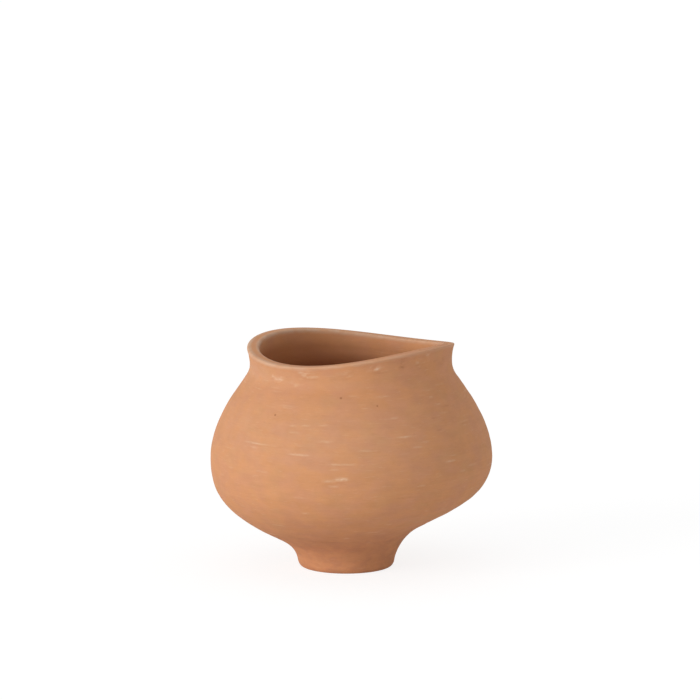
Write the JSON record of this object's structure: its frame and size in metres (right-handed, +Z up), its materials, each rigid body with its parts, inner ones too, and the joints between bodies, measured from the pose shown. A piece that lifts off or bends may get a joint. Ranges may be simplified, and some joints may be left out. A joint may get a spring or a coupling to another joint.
{
  "type": "terracotta planter jar",
  "caption": "Hand-thrown terracotta planter jar: round belly, short neck, wide mouth with a wavy lip, and a narrow hollow foot under a drain hole.",
  "frame": {"origin": "on the ground, straight below the middle of the belly", "axes": "+Z up; +X to the right and +Y away from the viewer in the picture's view, so the foot sits a little towards -X"},
  "size_m": [0.2826, 0.2826, 0.2306],
  "materials": {
    "terracotta": "matte"
  },
  "bodies": {
    "root": {"foot_ring": "terracotta", "lower_bowl": "terracotta", "upper_shoulder": "terracotta", "neck_collar": "terracotta"}
  },
  "joints": []
}
